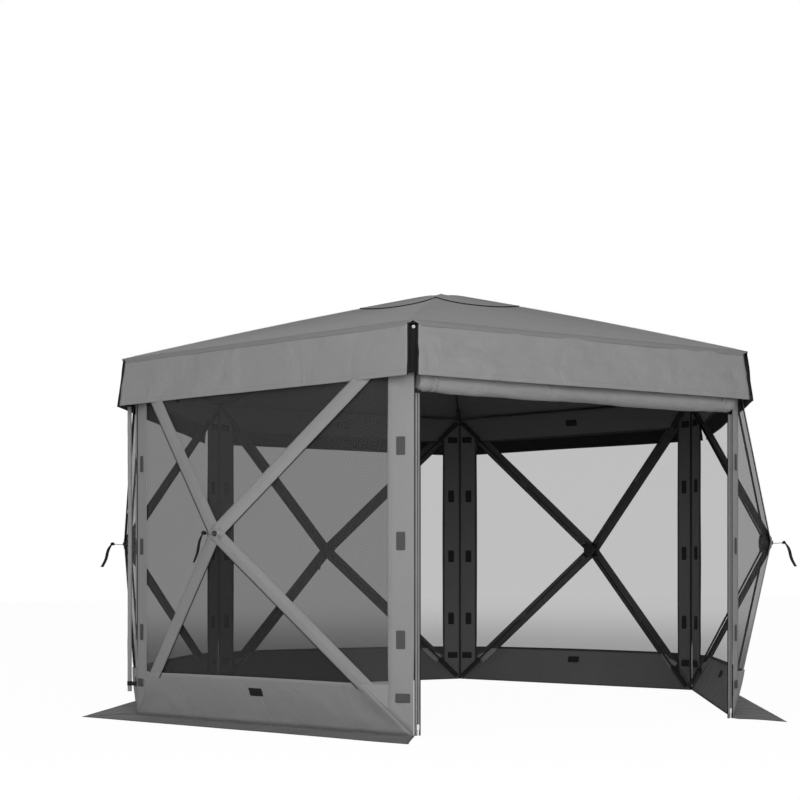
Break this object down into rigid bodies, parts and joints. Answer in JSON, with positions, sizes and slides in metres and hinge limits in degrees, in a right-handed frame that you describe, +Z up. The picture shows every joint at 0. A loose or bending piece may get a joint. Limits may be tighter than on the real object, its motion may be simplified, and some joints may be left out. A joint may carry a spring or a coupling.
{
  "type": "hexagonal pop-up screen tent",
  "caption": "Hexagonal pop-up screen tent with net walls held out by pole hubs, a rolled-up door, a hub roof with valance and a ground skirt.",
  "frame": {"origin": "centre of the bounding box at ground level", "axes": "+Z up, the door faces -Y, +X across the door to the right"},
  "size_m": [3.9642, 3.6646, 2.2882],
  "materials": {
    "roof_fabric": "coated polyester, matt grey",
    "wall_fabric": "coated polyester, matt grey",
    "net": "fine mesh",
    "black_webbing": "woven webbing",
    "hook_tape": "hook-and-loop tape",
    "zip_tape": "woven tape with nylon coil",
    "pole_black": "satin glass-fibre rod",
    "hub_plastic": "moulded nylon",
    "nickel": "nickel plated"
  },
  "bodies": {
    "tent_cover": {"wall_net_left_front": "net", "wall_net_left_rear": "net", "wall_net_rear": "net", "wall_net_right_rear": "net", "wall_net_right_front": "net", "wall_borders": "wall_fabric", "hook_patches": "hook_tape", "webbing_tabs_and_ties": "black_webbing", "roof_canopy": "roof_fabric", "crown_patch": "roof_fabric", "valance": "roof_fabric", "ground_skirt": "wall_fabric", "rolled_panels": "wall_fabric", "corner_zips": "zip_tape", "grommets": "nickel"},
    "hub_left_front": {"hub_body_left_front": "hub_plastic", "hub_cap_left_front": "hub_plastic", "pull_strap_left_front": "black_webbing"},
    "left_front_upper_left_pole": {"pole_left_front_upper_left": "pole_black"},
    "left_front_upper_right_pole": {"pole_left_front_upper_right": "pole_black"},
    "left_front_lower_left_pole": {"pole_left_front_lower_left": "pole_black"},
    "left_front_lower_right_pole": {"pole_left_front_lower_right": "pole_black"},
    "hub_left_rear": {"hub_body_left_rear": "hub_plastic", "hub_cap_left_rear": "hub_plastic", "pull_strap_left_rear": "black_webbing"},
    "left_rear_upper_left_pole": {"pole_left_rear_upper_left": "pole_black"},
    "left_rear_upper_right_pole": {"pole_left_rear_upper_right": "pole_black"},
    "left_rear_lower_left_pole": {"pole_left_rear_lower_left": "pole_black"},
    "left_rear_lower_right_pole": {"pole_left_rear_lower_right": "pole_black"},
    "hub_rear": {"hub_body_rear": "hub_plastic", "hub_cap_rear": "hub_plastic", "pull_strap_rear": "black_webbing"},
    "rear_upper_left_pole": {"pole_rear_upper_left": "pole_black"},
    "rear_upper_right_pole": {"pole_rear_upper_right": "pole_black"},
    "rear_lower_left_pole": {"pole_rear_lower_left": "pole_black"},
    "rear_lower_right_pole": {"pole_rear_lower_right": "pole_black"},
    "hub_right_rear": {"hub_body_right_rear": "hub_plastic", "hub_cap_right_rear": "hub_plastic", "pull_strap_right_rear": "black_webbing"},
    "right_rear_upper_left_pole": {"pole_right_rear_upper_left": "pole_black"},
    "right_rear_upper_right_pole": {"pole_right_rear_upper_right": "pole_black"},
    "right_rear_lower_left_pole": {"pole_right_rear_lower_left": "pole_black"},
    "right_rear_lower_right_pole": {"pole_right_rear_lower_right": "pole_black"},
    "hub_right_front": {"hub_body_right_front": "hub_plastic", "hub_cap_right_front": "hub_plastic", "pull_strap_right_front": "black_webbing"},
    "right_front_upper_left_pole": {"pole_right_front_upper_left": "pole_black"},
    "right_front_upper_right_pole": {"pole_right_front_upper_right": "pole_black"},
    "right_front_lower_left_pole": {"pole_right_front_lower_left": "pole_black"},
    "right_front_lower_right_pole": {"pole_right_front_lower_right": "pole_black"},
    "roof_hub": {"roof_hub_body": "hub_plastic", "roof_hub_cap": "hub_plastic"},
    "front_left_roof_pole": {"roof_pole_front_left": "pole_black"},
    "left_roof_pole": {"roof_pole_left": "pole_black"},
    "rear_left_roof_pole": {"roof_pole_rear_left": "pole_black"},
    "rear_right_roof_pole": {"roof_pole_rear_right": "pole_black"},
    "right_roof_pole": {"roof_pole_right": "pole_black"},
    "front_right_roof_pole": {"roof_pole_front_right": "pole_black"},
    "zip_left": {"zip_slider_left": "nickel"},
    "zip_right": {"zip_slider_right": "nickel"}
  },
  "joints": [
    {"name": "push_in_left_front", "type": "slide", "parent": "tent_cover", "child": "hub_left_front", "axis": [0.866, 0.5, 0], "range_m": [0, 0.3175], "deforming": ["pull_strap_left_front"]},
    {"name": "swing_left_front_upper_left", "type": "hinge", "parent": "tent_cover", "child": "left_front_upper_left_pole", "pos_m": [-1.67788, -0.13467, 1.756], "axis": [0.3634, -0.6295, 0.6868], "range_deg": [0, 14.86]},
    {"name": "swing_left_front_upper_right", "type": "hinge", "parent": "tent_cover", "child": "left_front_upper_right_pole", "pos_m": [-0.85538, -1.55928, 1.756], "axis": [0.3634, -0.6295, -0.6868], "range_deg": [0, 14.86]},
    {"name": "swing_left_front_lower_left", "type": "hinge", "parent": "tent_cover", "child": "left_front_lower_left_pole", "pos_m": [-1.67788, -0.13467, 0.03], "axis": [-0.3604, 0.6243, 0.6931], "range_deg": [0, 14.99]},
    {"name": "swing_left_front_lower_right", "type": "hinge", "parent": "tent_cover", "child": "left_front_lower_right_pole", "pos_m": [-0.85538, -1.55928, 0.03], "axis": [-0.3604, 0.6243, -0.6931], "range_deg": [0, 14.99]},
    {"name": "push_in_left_rear", "type": "slide", "parent": "tent_cover", "child": "hub_left_rear", "axis": [0.866, -0.5, 0], "range_m": [0, 0.3175], "deforming": ["pull_strap_left_rear"]},
    {"name": "swing_left_rear_upper_left", "type": "hinge", "parent": "tent_cover", "child": "left_rear_upper_left_pole", "pos_m": [-0.85538, 1.32791, 1.756], "axis": [-0.3634, -0.6295, 0.6868], "range_deg": [0, 14.86]},
    {"name": "swing_left_rear_upper_right", "type": "hinge", "parent": "tent_cover", "child": "left_rear_upper_right_pole", "pos_m": [-1.67788, -0.0967, 1.756], "axis": [-0.3634, -0.6295, -0.6868], "range_deg": [0, 14.86]},
    {"name": "swing_left_rear_lower_left", "type": "hinge", "parent": "tent_cover", "child": "left_rear_lower_left_pole", "pos_m": [-0.85538, 1.32791, 0.03], "axis": [0.3604, 0.6243, 0.6931], "range_deg": [0, 14.99]},
    {"name": "swing_left_rear_lower_right", "type": "hinge", "parent": "tent_cover", "child": "left_rear_lower_right_pole", "pos_m": [-1.67788, -0.0967, 0.03], "axis": [0.3604, 0.6243, -0.6931], "range_deg": [0, 14.99]},
    {"name": "push_in_rear", "type": "slide", "parent": "tent_cover", "child": "hub_rear", "axis": [0, -1, 0], "range_m": [0, 0.3175], "deforming": ["pull_strap_rear"]},
    {"name": "swing_rear_upper_left", "type": "hinge", "parent": "tent_cover", "child": "rear_upper_left_pole", "pos_m": [0.8225, 1.34689, 1.756], "axis": [-0.7269, 0, 0.6868], "range_deg": [0, 14.86]},
    {"name": "swing_rear_upper_right", "type": "hinge", "parent": "tent_cover", "child": "rear_upper_right_pole", "pos_m": [-0.8225, 1.34689, 1.756], "axis": [-0.7269, 0, -0.6868], "range_deg": [0, 14.86]},
    {"name": "swing_rear_lower_left", "type": "hinge", "parent": "tent_cover", "child": "rear_lower_left_pole", "pos_m": [0.8225, 1.34689, 0.03], "axis": [0.7209, 0, 0.6931], "range_deg": [0, 14.99]},
    {"name": "swing_rear_lower_right", "type": "hinge", "parent": "tent_cover", "child": "rear_lower_right_pole", "pos_m": [-0.8225, 1.34689, 0.03], "axis": [0.7209, 0, -0.6931], "range_deg": [0, 14.99]},
    {"name": "push_in_right_rear", "type": "slide", "parent": "tent_cover", "child": "hub_right_rear", "axis": [-0.866, -0.5, 0], "range_m": [0, 0.3175], "deforming": ["pull_strap_right_rear"]},
    {"name": "swing_right_rear_upper_left", "type": "hinge", "parent": "tent_cover", "child": "right_rear_upper_left_pole", "pos_m": [1.67788, -0.0967, 1.756], "axis": [-0.3634, 0.6295, 0.6868], "range_deg": [0, 14.86]},
    {"name": "swing_right_rear_upper_right", "type": "hinge", "parent": "tent_cover", "child": "right_rear_upper_right_pole", "pos_m": [0.85538, 1.32791, 1.756], "axis": [-0.3634, 0.6295, -0.6868], "range_deg": [0, 14.86]},
    {"name": "swing_right_rear_lower_left", "type": "hinge", "parent": "tent_cover", "child": "right_rear_lower_left_pole", "pos_m": [1.67788, -0.0967, 0.03], "axis": [0.3604, -0.6243, 0.6931], "range_deg": [0, 14.99]},
    {"name": "swing_right_rear_lower_right", "type": "hinge", "parent": "tent_cover", "child": "right_rear_lower_right_pole", "pos_m": [0.85538, 1.32791, 0.03], "axis": [0.3604, -0.6243, -0.6931], "range_deg": [0, 14.99]},
    {"name": "push_in_right_front", "type": "slide", "parent": "tent_cover", "child": "hub_right_front", "axis": [-0.866, 0.5, 0], "range_m": [0, 0.3175], "deforming": ["pull_strap_right_front"]},
    {"name": "swing_right_front_upper_left", "type": "hinge", "parent": "tent_cover", "child": "right_front_upper_left_pole", "pos_m": [0.85538, -1.55928, 1.756], "axis": [0.3634, 0.6295, 0.6868], "range_deg": [0, 14.86]},
    {"name": "swing_right_front_upper_right", "type": "hinge", "parent": "tent_cover", "child": "right_front_upper_right_pole", "pos_m": [1.67788, -0.13467, 1.756], "axis": [0.3634, 0.6295, -0.6868], "range_deg": [0, 14.86]},
    {"name": "swing_right_front_lower_left", "type": "hinge", "parent": "tent_cover", "child": "right_front_lower_left_pole", "pos_m": [0.85538, -1.55928, 0.03], "axis": [-0.3604, -0.6243, 0.6931], "range_deg": [0, 14.99]},
    {"name": "swing_right_front_lower_right", "type": "hinge", "parent": "tent_cover", "child": "right_front_lower_right_pole", "pos_m": [1.67788, -0.13467, 0.03], "axis": [-0.3604, -0.6243, -0.6931], "range_deg": [0, 14.99]},
    {"name": "pull_down_roof", "type": "slide", "parent": "tent_cover", "child": "roof_hub", "axis": [0, 0, -1], "range_m": [0, 0.31]},
    {"name": "swing_roof_front_left", "type": "hinge", "parent": "tent_cover", "child": "front_left_roof_pole", "pos_m": [-0.8325, -1.55762, 1.77961], "axis": [-0.866, 0.5, 0], "range_deg": [0, 10.29]},
    {"name": "swing_roof_left", "type": "hinge", "parent": "tent_cover", "child": "left_roof_pole", "pos_m": [-1.665, -0.11568, 1.77961], "axis": [0, 1, 0], "range_deg": [0, 10.29]},
    {"name": "swing_roof_rear_left", "type": "hinge", "parent": "tent_cover", "child": "rear_left_roof_pole", "pos_m": [-0.8325, 1.32625, 1.77961], "axis": [0.866, 0.5, 0], "range_deg": [0, 10.29]},
    {"name": "swing_roof_rear_right", "type": "hinge", "parent": "tent_cover", "child": "rear_right_roof_pole", "pos_m": [0.8325, 1.32625, 1.77961], "axis": [0.866, -0.5, 0], "range_deg": [0, 10.29]},
    {"name": "swing_roof_right", "type": "hinge", "parent": "tent_cover", "child": "right_roof_pole", "pos_m": [1.665, -0.11568, 1.77961], "axis": [0, -1, 0], "range_deg": [0, 10.29]},
    {"name": "swing_roof_front_right", "type": "hinge", "parent": "tent_cover", "child": "front_right_roof_pole", "pos_m": [0.8325, -1.55762, 1.77961], "axis": [-0.866, -0.5, 0], "range_deg": [0, 10.29]},
    {"name": "unzip_left", "type": "slide", "parent": "tent_cover", "child": "zip_left", "axis": [0, 0, 1], "range_m": [0, 1.42]},
    {"name": "unzip_right", "type": "slide", "parent": "tent_cover", "child": "zip_right", "axis": [0, 0, 1], "range_m": [0, 1.42]}
  ],
  "couplings": [
    {"joint": "swing_left_front_upper_left", "follows": "push_in_left_front", "rad_per_m": 0.81622},
    {"joint": "swing_left_front_upper_right", "follows": "push_in_left_front", "rad_per_m": 0.81622},
    {"joint": "swing_left_front_lower_left", "follows": "push_in_left_front", "rad_per_m": 0.82335},
    {"joint": "swing_left_front_lower_right", "follows": "push_in_left_front", "rad_per_m": 0.82335},
    {"joint": "swing_left_rear_upper_left", "follows": "push_in_left_rear", "rad_per_m": 0.81622},
    {"joint": "swing_left_rear_upper_right", "follows": "push_in_left_rear", "rad_per_m": 0.81622},
    {"joint": "swing_left_rear_lower_left", "follows": "push_in_left_rear", "rad_per_m": 0.82335},
    {"joint": "swing_left_rear_lower_right", "follows": "push_in_left_rear", "rad_per_m": 0.82335},
    {"joint": "swing_rear_upper_left", "follows": "push_in_rear", "rad_per_m": 0.81622},
    {"joint": "swing_rear_upper_right", "follows": "push_in_rear", "rad_per_m": 0.81622},
    {"joint": "swing_rear_lower_left", "follows": "push_in_rear", "rad_per_m": 0.82335},
    {"joint": "swing_rear_lower_right", "follows": "push_in_rear", "rad_per_m": 0.82335},
    {"joint": "swing_right_rear_upper_left", "follows": "push_in_right_rear", "rad_per_m": 0.81622},
    {"joint": "swing_right_rear_upper_right", "follows": "push_in_right_rear", "rad_per_m": 0.81622},
    {"joint": "swing_right_rear_lower_left", "follows": "push_in_right_rear", "rad_per_m": 0.82335},
    {"joint": "swing_right_rear_lower_right", "follows": "push_in_right_rear", "rad_per_m": 0.82335},
    {"joint": "swing_right_front_upper_left", "follows": "push_in_right_front", "rad_per_m": 0.81622},
    {"joint": "swing_right_front_upper_right", "follows": "push_in_right_front", "rad_per_m": 0.81622},
    {"joint": "swing_right_front_lower_left", "follows": "push_in_right_front", "rad_per_m": 0.82335},
    {"joint": "swing_right_front_lower_right", "follows": "push_in_right_front", "rad_per_m": 0.82335},
    {"joint": "swing_roof_front_left", "follows": "pull_down_roof", "rad_per_m": 0.57853},
    {"joint": "swing_roof_left", "follows": "pull_down_roof", "rad_per_m": 0.57853},
    {"joint": "swing_roof_rear_left", "follows": "pull_down_roof", "rad_per_m": 0.57853},
    {"joint": "swing_roof_rear_right", "follows": "pull_down_roof", "rad_per_m": 0.57853},
    {"joint": "swing_roof_right", "follows": "pull_down_roof", "rad_per_m": 0.57853},
    {"joint": "swing_roof_front_right", "follows": "pull_down_roof", "rad_per_m": 0.57853}
  ]
}
